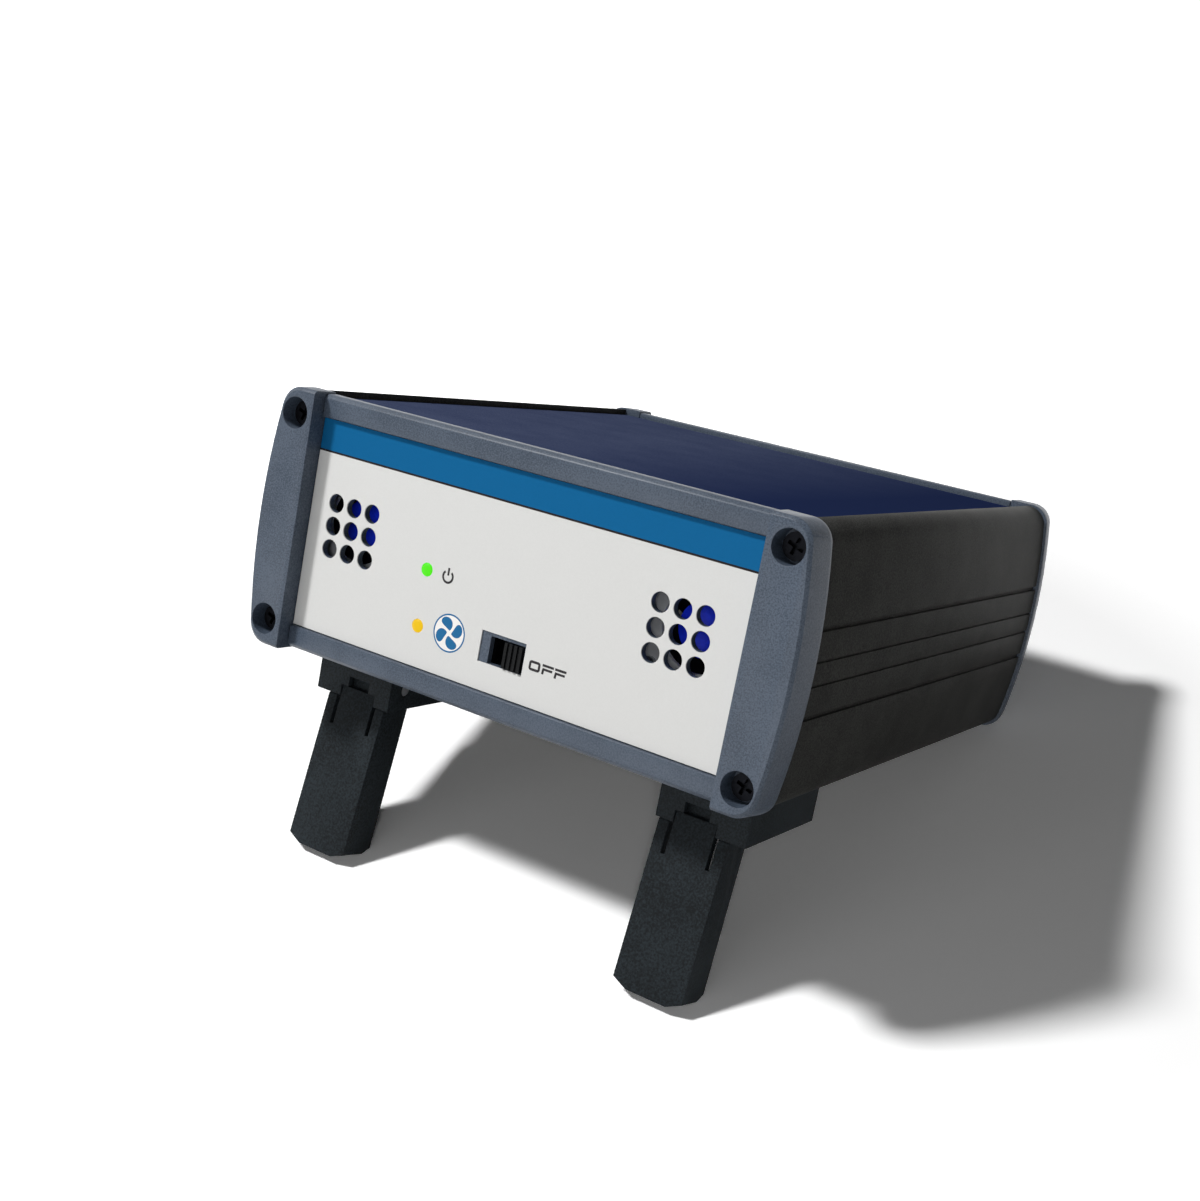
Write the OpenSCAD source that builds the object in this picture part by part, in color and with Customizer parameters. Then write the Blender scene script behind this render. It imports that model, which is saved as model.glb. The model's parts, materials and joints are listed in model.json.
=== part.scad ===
// Bench-top ionizing blower in an instrument case: two side sections, two covers,
// a frame of posts and bars at each end, twin fans with emitter rings, and two
// fold-out legs that tip the front upwards. Millimetres.
// Everything is drawn square to the case, with x to the right, y to the rear and
// z up, from the centre of the front posts' faces. stand() then tips the whole
// onto its legs, with z = 0 on the table.

/* [Case] */
// Width over the bulge of the end posts
case_w = 140.4; // [130:0.2:160]
// Height of the side sections
case_h = 59; // [56:0.5:70]
// Depth from the front posts' faces to the rear posts' faces
case_d = 149; // [135:1:180]
// Depth of the frame of posts and bars at each end
frame_d = 7; // [6.5:0.1:9]
// Radius of the bulging side
bulge_r = 160; // [130:1:240]
// Radius of the long edges
edge_r = 5; // [4:0.1:6.5]
// How far the side sections lie inside the end posts
side_inset = 0.7; // [0.3:0.1:1.2]

/* [End frames] */
// Width of a post beside its screws, towards the panel
post_land = 4.95; // [4.6:0.05:6]
// How far the posts stand above the side sections
post_lip = 0.4; // [0.2:0.1:0.8]
// How far the side of a post leans inwards towards its face
post_taper = 1.1; // [0.5:0.1:2]
// Width of the chamfer round a post's face
post_chamfer = 0.7; // [0.3:0.1:1]
// How far the bars lie behind the posts' faces
bar_setback = 3.4; // [2.5:0.1:3.8]
// Height of the top and bottom bars
bar_h = 5.2; // [4.5:0.1:6.5]
// Chamfer along a bar's outer edge
bar_chamfer = 0.9; // [0.4:0.1:1.2]
// Seam between a bar and a post
seam = 0.15; // [0.1:0.05:0.3]

/* [Case screws] */
// Distance of a screw from the top or bottom of the side section
screw_drop = 5.5; // [5.2:0.1:6]
// Diameter of the recess that takes the screw's head
recess_d = 7.2; // [6.6:0.1:7.8]
// Depth of that recess
recess_depth = 5.2; // [4:0.1:5.4]
// Diameter of the screw's head
screw_head_d = 5.6; // [5:0.1:6]
// Height of the screw's head
screw_head_h = 2; // [1.8:0.1:2.4]
// Diameter of the screw's shank
screw_d = 2.9; // [2.5:0.1:3.1]
// Length of the screw's shank
screw_l = 16; // [10:1:25]

/* [Side sections and covers] */
// Wall of the side section
side_wall = 2; // [1.6:0.1:2.6]
// How far the rims stand above the cover between them
rim_h = 1.5; // [1:0.1:1.9]
// Thickness of the top and bottom covers
cover_t = 1.5; // [1.2:0.1:2]
// How far a cover's edge slides into the side section
cover_tuck = 2; // [1.2:0.1:2.5]
// Diameter of the round screw channel in the section
channel_d = 6.4; // [5.6:0.1:7]
// Height above the middle of the outer pair of grooves
groove_outer_z = 9.05; // [7:0.05:12]
// Height above the middle of the inner pair of grooves
groove_inner_z = 2.45; // [1.5:0.05:4]
// Width of a deep groove
groove_w = 1.1; // [0.7:0.1:1.5]
// Depth of a deep groove
groove_depth = 1; // [0.6:0.1:1.2]
// Width and depth of a fine groove
fine_groove = 0.5; // [0.3:0.1:0.8]

/* [Panels] */
// Thickness of the front and rear panels
panel_t = 1.5; // [1.2:0.1:2.2]
// How far a panel's edge goes behind the posts and bars
panel_tuck = 1.4; // [1:0.1:1.8]
// How far the label's face lies behind the bars' faces
panel_setback = 1; // [0.6:0.1:1.3]
// Thickness of the printed label
label_t = 0.3; // [0.2:0.05:0.4]
// Gap round the label
label_gap = 0.2; // [0.1:0.05:0.4]

/* [Vents] */
// Diameter of a vent hole
vent_d = 4.3; // [3.6:0.1:4.6]
// Distance between vent holes
vent_pitch = 5.25; // [5.1:0.05:6]
// Holes along each side of a front vent
vent_n = 3; // [2:1:4]
// Distance of the left vent's middle from the left case screws
vent_left_inset = 17.55; // [16:0.05:19]
// Distance of the right vent's middle from the right case screws
vent_right_inset = 21.45; // [20:0.05:23]
// Height of the vents
vent_z = 0.65; // [-2:0.05:3]
// Holes along each side of a rear vent
rear_vent_n = 5; // [3:1:6]

/* [Indicators and switch] */
// Diameter of an indicator lamp
led_d = 3; // [2.5:0.1:3.5]
// Place of the lamps, from the middle
led_x = -22.25; // [-26:0.25:-20]
// Height of the power lamp
led_power_z = -2.3; // [-5:0.1:2]
// Height of the fan lamp
led_fan_z = -15; // [-17:0.1:-12]
// Place of the middle of the switch slot
switch_x = 1.8; // [-4:0.1:6]
// Height of the switch slot
switch_z = -14.9; // [-16:0.1:-12]
// Width of the switch slot
slot_w = 9; // [8:0.1:10]
// Height of the switch slot
slot_h = 6; // [5:0.1:6.6]
// Travel of the switch knob
knob_travel = 4; // [3:0.1:5]
// How far the knob stands out of the label
knob_out = 0.5; // [0.3:0.1:2.5]

/* [Legs] */
// Width of a leg
leg_w = 17; // [14:0.1:18]
// Distance of a leg's middle from the case screws beside it
leg_inset = 15.95; // [15.5:0.05:19]
// Distance of the leg's pin behind the posts' faces
pin_y = 24.1; // [23:0.1:30]
// Distance of the leg's face from its pin
leg_front = 4.8; // [4.6:0.1:6]
// Distance of the leg's back from its pin, at the top
leg_back = 4; // [3.7:0.1:4.8]
// Extra thickness at the foot
leg_flare = 0.9; // [0:0.1:1.5]
// Length from the pin to the foot
leg_l = 42.6; // [36:0.2:50]
// Forward lean of an open leg
leg_lean = 10.4; // [5:0.1:16]
// Diameter of the leg's pin
pin_d = 3; // [2.5:0.1:3.5]
// Radius of the leg's ears round the pin
ear_r = 3.6; // [3:0.1:3.7]
// Width of the snap tongue
tongue_w = 9.9; // [8:0.1:11]
// Length of the slots beside the tongue, below the bracket
tongue_slot_l = 8; // [5:0.1:12]
// Distance from the case's bottom cover to the pin
pin_drop = 8.6; // [8.2:0.1:11]

/* [Leg brackets] */
// Depth of a bracket from front to rear
bracket_d = 32.7; // [28:0.1:40]
// Top and front walls of a bracket
bracket_wall = 1.8; // [1.5:0.1:2.2]
// Wall on the side towards the middle
bracket_inner = 0.8; // [0.8:0.1:1.6]
// Wall on the outer side, which takes the screws
bracket_outer = 3.6; // [3.4:0.1:5]
// Width of the latch window above the tongue
window_w = 6.2; // [4:0.1:8]
// Height of the latch window above the tongue
window_h = 2.5; // [1.5:0.1:3]

/* [Fans] */
// Side of the square fan
fan_w = 25; // [24:0.5:27]
// Depth of the fan
fan_d = 10; // [8:0.5:12]
// Distance between the fan's screws
fan_pitch = 20; // [19:0.5:21]
// Diameter of the fan's bore
fan_bore = 23; // [21:0.1:23.4]
// Distance of the left fan's middle from the left case screws
fan_left_inset = 12.55; // [12.5:0.05:16]
// Diameter of the round hole in the fan's bracket
fan_hole_d = 18; // [16:0.5:20]
// Distance from the panel to the fan's bracket
fan_gap = 7.5; // [5:0.1:8]
// Blades on a rotor
blade_n = 7; // [5:1:9]
// Diameter of the rotor's hub
hub_d = 12; // [10:0.5:13]
// Depth of the emitter ring behind a fan
ring_d = 5; // [4:0.5:7]
// Emitter needles in a ring
needle_n = 4; // [2:1:4]

/* [Boards] */
// Thickness of the circuit boards
board_t = 1.6; // [1:0.1:2]
// Distance of the main board's edges from the case screws
main_side = 14.55; // [12:0.05:18]
// Distance of the main board from the rear panel
main_gap = 10; // [4:0.5:20]
// Distance of the main board behind the posts' faces
main_y = 48; // [44:1:52]
// Height of the main board's spacers
spacer_h = 6; // [4:0.5:8]
// Width of the potted high-voltage generator
module_w = 48; // [40:1:60]
// Depth of that generator
module_d = 32; // [24:1:40]
// Height of that generator
module_h = 18; // [12:1:22]

/* [Hidden] */

$fn = 48;
tiny = 0.05;       // overlap of a cut past a face
run = 0.05;        // running clearance round a pin or shaft
slip = 0.2;        // clearance of a sliding or folding piece
far = 200;         // longer than anything it cuts

// Case
half_h = case_h / 2;
post_h = half_h + post_lip;
side_bulge = case_w / 2 - side_inset;
// middle of a side's round edge, which the screws and the rims line up with
screw_x = side_bulge - bulge_r + sqrt(pow(bulge_r - edge_r, 2) - pow(half_h - edge_r, 2));
screw_z = half_h - screw_drop;
rim_x = screw_x - tiny;
opening_w = 2 * (screw_x - post_land);
vent_left_x = vent_left_inset - screw_x;
vent_right_x = screw_x - vent_right_inset;
leg_x = screw_x - leg_inset;
cover_z = half_h - rim_h;                       // outer face of a cover
body_d = case_d - 2 * frame_d;
opening_h = 2 * (half_h - bar_h);               // clear height between the bars
panel_y = bar_setback + panel_setback + label_t;
panel_w = opening_w + 2 * panel_tuck;
panel_h = opening_h + 2 * panel_tuck;
screw_seat = recess_depth;

// Legs
pin_z = -cover_z - pin_drop;
bracket_z = pin_z - leg_front;                  // underside of a bracket
leg_inner = leg_x - leg_w / 2;
bracket_in = leg_inner - slip - bracket_inner;
bracket_out = leg_x + leg_w / 2 + slip + bracket_outer;
bracket_y = pin_y - leg_front - 1;
wall_back = bracket_y + bracket_wall;           // rear face of the bracket's front wall
leg_wall = (leg_w - tongue_w) / 2 - 1;          // side wall of the leg, beside a 1 mm slot
toe_y = -0.4;                                   // front edge of the flat that stands on the table
tongue_top = bracket_z + 2.5;
bracket_screw_x = leg_x + leg_w / 2 + slip + bracket_outer / 2;
bracket_screw_ys = [bracket_y + 11, bracket_y + bracket_d - 6];

// The table touches the toes and the lower rear edge of the rear posts
toe = [pin_y + toe_y * cos(leg_lean) - leg_l * sin(leg_lean),
       pin_z - toe_y * sin(leg_lean) - leg_l * cos(leg_lean)];
heel = [case_d - post_chamfer, -post_h];
tilt = atan2(heel[1] - toe[1], heel[0] - toe[0]);
foot_front = [pin_y - leg_front * cos(leg_lean) - leg_l * sin(leg_lean),
              pin_z + leg_front * sin(leg_lean) - leg_l * cos(leg_lean)];
rear_top = [case_d, post_h - post_chamfer];
function level_y(p) = p[0] * cos(tilt) + p[1] * sin(tilt);
function level_z(p) = p[1] * cos(tilt) - p[0] * sin(tilt);
stand_y = -(level_y(foot_front) + level_y(rear_top)) / 2;
stand_z = -level_z(toe);

// Fans
plate_t = 1;
plate_y = panel_y + panel_t + fan_gap;
fan_y = plate_y + plate_t;
ring_y = fan_y + fan_d;
fan_left_x = fan_left_inset - screw_x;
fan_right_x = vent_right_x;
floor_z = -cover_z + cover_t;                   // inner face of the bottom cover
plate_w = fan_w + 2;
plate_top = vent_z + fan_w / 2 + 1;
plate_bottom = vent_z - fan_w / 2 - 1;
stem_w = 17.5;                                  // narrow enough to pass the screw channels
foot_l = 11.5;
foot_screw_x = 5.5;
rotor_front = 0.7;
rotor_d = 6.6;
shaft_r = 0.75;

// Boards
control_gap = 10;                               // from the front panel to its board
control_y = panel_y + panel_t + control_gap;
control_x = [-31, 25];
control_z = [-23, 4];
control_inset = 3;                              // screw holes to the edges of the board
control_holes = [for (x = [control_x[0] + control_inset, control_x[1] - control_inset],
                      z = [control_z[0] + control_inset, control_z[1] - control_inset]) [x, z]];
inside_rear = case_d - panel_y - panel_t;       // inner face of the rear panel
main_d = inside_rear - main_gap - main_y;
main_rear = main_y + main_d;
main_w = 2 * (screw_x - main_side);
main_z = floor_z + spacer_h;
main_inset = 7;                                 // screw holes to the edges of the board
main_holes = [for (x = [-1, 1], y = [main_inset, main_d - main_inset])
    [x * (main_w / 2 - main_inset), main_y + y]];
wire_r = 0.25;                                  // wires of a lamp
wire_x = 0.9;
jack_z = -12;
jack_w = 11;
jack_l = 12;
jack_thread_r = 4;
jack_bore_r = 3;

// Puts a piece that is drawn square to the case onto its legs.
module stand() {
    translate([0, stand_y, stand_z]) rotate([-tilt, 0, 0]) children();
}

// Draws the children, and again at the other side of the case when side is -1.
module on_side(side) {
    mirror([side < 0 ? 1 : 0, 0, 0]) children();
}

// Turns a piece of the front frame round into the same piece of the rear frame.
module at_rear() {
    translate([0, case_d, 0]) mirror([0, 1, 0]) children();
}

// A prism with its outline in x and z, running back from y.
module slab(y, depth) {
    translate([0, y + depth, 0]) rotate([90, 0, 0]) linear_extrude(depth) children();
}

// A cylinder along y.
module rod_y(x, y, z, r, length) {
    translate([x, y + length, z]) rotate([90, 0, 0]) cylinder(r = r, h = length);
}

// A cylinder along z.
module rod_z(x, y, z, r, length) {
    translate([x, y, z]) cylinder(r = r, h = length);
}

// Outline of a side: a shallow bulge between two round edges, from x = inner outwards.
module side_outline(bulge, h, r, inner) {
    centre = bulge - bulge_r;
    edge_z = h - r;
    edge_x = centre + sqrt(pow(bulge_r - r, 2) - pow(edge_z, 2));
    tangent = asin(edge_z / (bulge_r - r));
    reach = bulge_r * sin(tangent);
    intersection() {
        translate([inner, -h]) square([bulge - inner + 1, 2 * h]);
        union() {
            intersection() {
                translate([centre, 0]) circle(r = bulge_r, $fn = 240);
                translate([inner, -reach]) square([bulge - inner + 1, 2 * reach]);
            }
            for (s = [-1, 1]) translate([edge_x, s * edge_z]) circle(r = r);
            translate([inner, -h]) square([edge_x - inner, 2 * h]);
        }
    }
}

// Grooves along the outside of a side section, as bars to be cut away.
module grooves() {
    for (s = [-1, 1]) {
        translate([side_bulge - groove_depth, s * groove_outer_z - groove_w / 2])
            square([3, groove_w]);
        translate([side_bulge - fine_groove, s * groove_inner_z - fine_groove / 2])
            square([3, fine_groove]);
    }
}

// Side section: an extrusion with raised rims, a slot for each cover and a round
// channel at each end for the case screws.
module side_section(side) {
    color("#3d3e42") stand() on_side(side) slab(frame_d, body_d) difference() {
        union() {
            difference() {
                side_outline(side_bulge, half_h, edge_r, rim_x);
                side_outline(side_bulge - side_wall, half_h - side_wall, edge_r - side_wall, 0);
            }
            for (s = [-1, 1]) translate([screw_x, s * screw_z]) circle(d = channel_d);
        }
        grooves();
        for (s = [-1, 1]) {
            translate([screw_x, s * screw_z]) circle(r = screw_d / 2 + run);
            translate([0, s * (cover_z - cover_t / 2) - cover_t / 2])
                square([rim_x + cover_tuck + run, cover_t]);
        }
    }
}

module cover_plate() {
    slab(frame_d, body_d) translate([-rim_x - cover_tuck, -cover_t / 2])
        square([2 * (rim_x + cover_tuck), cover_t]);
}

module top_cover() {
    color("#30364a") stand() translate([0, 0, cover_z - cover_t / 2]) cover_plate();
}

// Bottom cover, drilled for the leg brackets, the fan brackets and the board spacers.
module bottom_cover() {
    color("#3d3e42") stand() difference() {
        translate([0, 0, -cover_z + cover_t / 2]) cover_plate();
        for (s = [-1, 1], y = bracket_screw_ys)
            rod_z(s * bracket_screw_x, y, -cover_z - 1, 1.25 + run, cover_t + 2);
        for (p = main_holes) rod_z(p[0], p[1], -cover_z - 1, 1.25 + run, cover_t + 2);
        for (x = [fan_left_x, fan_right_x], s = [-1, 1])
            rod_z(x + s * foot_screw_x, fan_y + foot_l - 4, -cover_z - 1, 1.25 + run, cover_t + 2);
    }
}

// One thin layer of a post, for the hull that gives it its taper and chamfer.
module post_layer(y, inwards, lower) {
    slab(y, tiny) side_outline(case_w / 2 - inwards, post_h - lower, edge_r, opening_w / 2);
}

// End post, with a rebate for the panel's edge and two counterbored screw holes.
module post(side) {
    on_side(side) difference() {
        hull() {
            post_layer(0, post_taper + post_chamfer, post_chamfer);
            post_layer(post_chamfer, post_taper, 0);
            post_layer(frame_d - 1, 0, 0);
            post_layer(frame_d - tiny, 0, 0);
        }
        translate([0, panel_y - run, -panel_h / 2 - run])
            cube([panel_w / 2 + run, far, panel_h + 2 * run]);
        for (s = [-1, 1]) {
            rod_y(screw_x, -1, s * screw_z, recess_d / 2, recess_depth + 1);
            rod_y(screw_x, -1, s * screw_z, screw_d / 2 + slip, frame_d + 2);
        }
    }
}

module front_post(side) { color("#5a6478") stand() post(side); }
module rear_post(side) { color("#5a6478") stand() at_rear() post(side); }

// End bar: chamfered outside, with a lip in front of the panel's edge.
module bar(side) {
    length = opening_w - 2 * seam;
    lip_z = half_h - bar_h;
    color("#5a6478") translate([-length / 2, 0, 0]) rotate([90, 0, 90])
        linear_extrude(length) scale_z(side) polygon([
            [bar_setback, lip_z], [bar_setback, half_h - bar_chamfer],
            [bar_setback + bar_chamfer, half_h], [frame_d, half_h],
            [frame_d, panel_h / 2 + run], [panel_y - run, panel_h / 2 + run],
            [panel_y - run, lip_z]
        ]);
}

// Mirrors an outline up and down when side is -1.
module scale_z(side) { mirror([0, side < 0 ? 1 : 0]) children(); }

module front_top_bar() { stand() bar(1); }
module front_bottom_bar() { stand() bar(-1); }
module rear_top_bar() { stand() at_rear() bar(1); }
module rear_bottom_bar() { stand() at_rear() bar(-1); }

// A square field of vent holes, for cutting.
module vent_field(x, count, y, depth) {
    start = -(count - 1) / 2 * vent_pitch;
    for (i = [0 : count - 1], j = [0 : count - 1])
        rod_y(x + start + i * vent_pitch, y, vent_z + start + j * vent_pitch, vent_d / 2, depth);
}

// Everything that is cut through the front panel and its label alike.
module front_cuts(y, depth) {
    for (x = [vent_left_x, vent_right_x]) vent_field(x, vent_n, y, depth);
    for (z = [led_power_z, led_fan_z]) rod_y(led_x, y, z, led_d / 2 + run, depth);
}

module front_panel() {
    color("#5a6478") stand() difference() {
        translate([-panel_w / 2, panel_y, -panel_h / 2]) cube([panel_w, panel_t, panel_h]);
        front_cuts(panel_y - 1, panel_t + 2);
        translate([switch_x - slot_w / 2, panel_y - 1, switch_z - slot_h / 2])
            cube([slot_w, panel_t + 2, slot_h]);
    }
}

// Printed label; its window leaves a strip of the panel bare round the switch.
module front_label() {
    w = opening_w - 2 * label_gap;
    h = opening_h - 2 * label_gap;
    bare_left = 2.4;
    bare_top = 0.8;
    color("#d9d9d7") stand() difference() {
        translate([-w / 2, panel_y - label_t, -h / 2]) cube([w, label_t, h]);
        front_cuts(panel_y - 1, 2);
        translate([switch_x - slot_w / 2 - bare_left, panel_y - 1, switch_z - slot_h / 2 - 0.1])
            cube([slot_w + bare_left + 0.3, 2, slot_h + bare_top + 0.1]);
    }
}

// Rear panel with an intake behind each fan and the hole of the power inlet.
module rear_panel() {
    color("#5a6478") stand() at_rear() difference() {
        translate([-panel_w / 2, panel_y, -panel_h / 2]) cube([panel_w, panel_t, panel_h]);
        for (x = [vent_left_x, vent_right_x]) vent_field(x, rear_vent_n, panel_y - 1, panel_t + 2);
        rod_y(0, panel_y - 1, jack_z, jack_thread_r + run, panel_t + 2);
    }
}

// Pan-head screw along y with a cross recess, its head seated at y.
module case_screw(x, y, z) {
    difference() {
        union() {
            rod_y(x, y - screw_head_h, z, screw_head_d / 2, screw_head_h);
            rod_y(x, y - tiny, z, screw_d / 2, screw_l + tiny);
        }
        for (turn = [0, 90]) translate([x, y - screw_head_h - 1, z]) rotate([0, turn + 20, 0])
            translate([-screw_head_d * 0.32, 0, -0.4]) cube([screw_head_d * 0.64, 2.2, 0.8]);
    }
}

module case_screws() {
    for (x = [-1, 1], z = [-1, 1]) case_screw(x * screw_x, screw_seat, z * screw_z);
}

module front_screws() { color("#2b2c2f") stand() case_screws(); }
module rear_screws() { color("#2b2c2f") stand() at_rear() case_screws(); }

// Small screw along z, its head under or above z by the sign of up.
module small_screw(x, y, z, r, length) {
    rod_z(x, y, z, 1.9 * r, 1.4 * r);
    rod_z(x, y, z - length, r, length + tiny);
}

// Leg bracket under the case: open below and behind, with a latch window in front.
module leg_bracket(side) {
    color("#23262a") stand() on_side(side) difference() {
        translate([bracket_in, bracket_y, bracket_z])
            cube([bracket_out - bracket_in, bracket_d, -cover_z - bracket_z]);
        translate([leg_inner - slip, wall_back, bracket_z - 1])
            cube([leg_w + 2 * slip, far, -cover_z - bracket_z - bracket_wall + 1]);
        translate([leg_x - tongue_w / 2 - slip, bracket_y - 1, bracket_z - 1])
            cube([tongue_w + 2 * slip, bracket_wall + 2, tongue_top - bracket_z + 1 + slip]);
        translate([leg_x - window_w / 2, bracket_y - 1, tongue_top])
            cube([window_w, bracket_wall + 2, window_h + slip]);
        translate([bracket_in - 1, pin_y, pin_z]) rotate([0, 90, 0])
            cylinder(r = pin_d / 2 + 0.02, h = bracket_out - bracket_in - 1);
        for (y = bracket_screw_ys)
            rod_z(bracket_screw_x, y, -cover_z - 7, 1.25, 8);
    }
}

module leg_pin(side) {
    color("#a8abb0") stand() on_side(side) translate([bracket_in + slip, pin_y, pin_z])
        rotate([0, 90, 0]) cylinder(d = pin_d, h = bracket_out - bracket_in - 2 * slip - 2);
}

module leg_bracket_screws() {
    color("#a8abb0") stand() for (s = [-1, 1], y = bracket_screw_ys)
        small_screw(s * bracket_screw_x, y, floor_z, 1.2, cover_t + 6);
}

// Side view of a leg about its pin, with y to the rear and z up.
module leg_profile() {
    foot_angle = leg_lean + tilt;
    foot_back = leg_back + leg_flare;
    union() {
        circle(r = ear_r);
        polygon([
            [-leg_front, -3], [-leg_front, -leg_l], [toe_y, -leg_l],
            [foot_back, -leg_l + (foot_back - toe_y) * tan(foot_angle)],
            [leg_back, -leg_back], [ear_r, 0], [-ear_r, 0]
        ]);
    }
}

// Leg: a channel with ribs, ears round the pin and a snap tongue between two slots.
module leg_shape() {
    front_t = 2;
    toe_slope_w = 3.6;
    toe_slope_h = 1.7;
    inside = leg_w / 2 - leg_wall;
    difference() {
        union() {
            difference() {
                rotate([-leg_lean, 0, 0]) difference() {
                    translate([-leg_w / 2, 0, 0]) rotate([90, 0, 90])
                        linear_extrude(leg_w) leg_profile();
                    translate([-inside, -leg_front + front_t, -leg_l + 3])
                        cube([2 * inside, far, far]);
                }
                // room for the bracket's front wall above the shoulders and the tongue
                translate([-far / 2, -far, bracket_z - pin_z - 0.15])
                    cube([far, far + wall_back - pin_y + slip, far]);
            }
            // tongue
            intersection() {
                rotate([-leg_lean, 0, 0]) translate([-tongue_w / 2, -leg_front, -leg_front - 8])
                    cube([tongue_w, front_t, 20]);
                translate([-far / 2, -far / 2, tongue_top - pin_z - far])
                    cube([far, far, far]);
            }
            // ribs across the channel
            rotate([-leg_lean, 0, 0]) for (z = [-0.5, -0.72] * leg_l)
                translate([-inside - tiny, -leg_front + front_t - tiny, z])
                    cube([2 * (inside + tiny), leg_front + leg_back - front_t - 1, 1.5]);
        }
        // slots beside the tongue
        rotate([-leg_lean, 0, 0]) for (s = [-1, 1])
            translate([s * (tongue_w / 2 + 0.5) - 0.5, -leg_front - 1, -leg_front - tongue_slot_l])
                cube([1, front_t + 1, 30]);
        translate([-far / 2, 0, 0]) rotate([0, 90, 0])
            cylinder(r = pin_d / 2 + run, h = far);
        // sloping corners of the toe
        for (s = [-1, 1]) rotate([-leg_lean, 0, 0])
            translate([s * (leg_w / 2 - toe_slope_w), -far / 2, -leg_l])
                rotate([0, -s * atan(toe_slope_h / toe_slope_w), 0])
                    translate([s > 0 ? 0 : -far, 0, -far]) cube([far, far, far]);
    }
}

module leg(side) {
    color("#22272b") stand() on_side(side) translate([leg_x, pin_y, pin_z]) leg_shape();
}

// Fan bracket: a sheet-metal angle with the round air hole, screwed to the bottom cover.
module fan_bracket(x) {
    color("#a9adb3") stand() difference() {
        union() {
            translate([x - plate_w / 2, plate_y, plate_bottom])
                cube([plate_w, plate_t, plate_top - plate_bottom]);
            translate([x - stem_w / 2, plate_y, floor_z])
                cube([stem_w, plate_t, plate_bottom - floor_z + tiny]);
            translate([x - stem_w / 2, plate_y, floor_z]) cube([stem_w, foot_l + plate_t, 1]);
        }
        rod_y(x, plate_y - 1, vent_z, fan_hole_d / 2, plate_t + 2);
        for (sx = [-1, 1], sz = [-1, 1])
            rod_y(x + sx * fan_pitch / 2, plate_y - 1, vent_z + sz * fan_pitch / 2, 1.15, 4);
        for (s = [-1, 1]) rod_z(x + s * foot_screw_x, fan_y + foot_l - 4, floor_z - 1, 1.25 + run, 3);
    }
}

module fan_bracket_screws() {
    color("#a8abb0") stand() for (x = [fan_left_x, fan_right_x], s = [-1, 1])
        small_screw(x + s * foot_screw_x, fan_y + foot_l - 4, floor_z + 1, 1.2, 1 + cover_t);
}

// Square outline with round corners and the fan's four screw holes.
module fan_square() {
    r = 2.5;
    c = fan_w / 2 - r;
    difference() {
        union() {
            square([fan_w, 2 * c], center = true);
            square([2 * c, fan_w], center = true);
            for (sx = [-1, 1], sz = [-1, 1]) translate([sx * c, sz * c]) circle(r = r);
        }
        for (sx = [-1, 1], sz = [-1, 1])
            translate([sx * fan_pitch / 2, sz * fan_pitch / 2]) circle(r = 1.15);
    }
}

// Fan housing with its motor cup on three struts.
module fan_frame(x) {
    cup_y = fan_y + rotor_front + rotor_d + 0.4;
    cup_d = fan_y + fan_d - cup_y;
    color("#202226") stand() translate([x, 0, vent_z]) difference() {
        union() {
            slab(fan_y, fan_d) difference() {
                fan_square();
                circle(d = fan_bore);
            }
            slab(cup_y, cup_d) circle(d = hub_d + 1);
            for (turn = [0 : 120 : 240]) rotate([0, turn + 20, 0])
                translate([hub_d / 3, cup_y + 0.3, -0.9])
                    cube([fan_bore / 2 + 0.4 - hub_d / 3, cup_d - 0.6, 1.8]);
        }
        rod_y(0, cup_y - 1, 0, shaft_r + run, cup_d + 2);
    }
}

// Rotor: hub, shaft and pitched blades.
module fan_rotor(x) {
    tip_r = fan_bore / 2 - 0.5;
    y = fan_y + rotor_front;
    color("#1b3fd0") stand() translate([x, 0, vent_z]) union() {
        rod_y(0, y, 0, hub_d / 2, rotor_d);
        rod_y(0, y + rotor_d - tiny, 0, shaft_r, fan_d - rotor_front - rotor_d + tiny);
        intersection() {
            rod_y(0, y + 0.4, 0, tip_r, rotor_d - 0.8);
            for (i = [0 : blade_n - 1]) rotate([0, i * 360 / blade_n, 0])
                translate([hub_d / 4, y + rotor_d / 2, 0]) rotate([40, 0, 0])
                    translate([0, -6, -0.5]) cube([far, 12, 1]);
        }
    }
}

// Emitter ring behind a fan, with a radial hole for each needle.
module emitter_ring(x) {
    color("#e6e4dc") stand() translate([x, 0, vent_z]) difference() {
        slab(ring_y, ring_d) difference() {
            fan_square();
            circle(d = fan_bore - 2);
        }
        for (i = [0 : needle_n - 1]) rotate([0, i * 360 / needle_n, 0])
            translate([0, ring_y + ring_d / 2, 0]) rotate([0, 90, 0]) cylinder(r = 0.55, h = far);
    }
}

// Needles pointing at the middle of the ring.
module emitter_needles(x) {
    color("#b9bcc2") stand() translate([x, ring_y + ring_d / 2, vent_z])
        for (i = [0 : needle_n - 1]) rotate([0, i * 360 / needle_n, 0]) rotate([0, 90, 0]) {
            translate([0, 0, 7]) cylinder(r = 0.5, h = fan_w / 2 - 7);
            translate([0, 0, 4]) cylinder(r1 = 0.1, r2 = 0.5, h = 3 + tiny);
        }
}

// Screws through each fan bracket, fan and emitter ring.
module fan_screws() {
    color("#a8abb0") stand() for (x = [fan_left_x, fan_right_x], sx = [-1, 1], sz = [-1, 1])
        translate([x + sx * fan_pitch / 2, plate_y, vent_z + sz * fan_pitch / 2]) {
            rod_y(0, -1.2, 0, 1.9, 1.2);
            rod_y(0, -tiny, 0, 1, plate_t + fan_d + ring_d + 1);
            slab(plate_t + fan_d + ring_d, 1.6) circle(r = 2.2, $fn = 6);
        }
}

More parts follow.
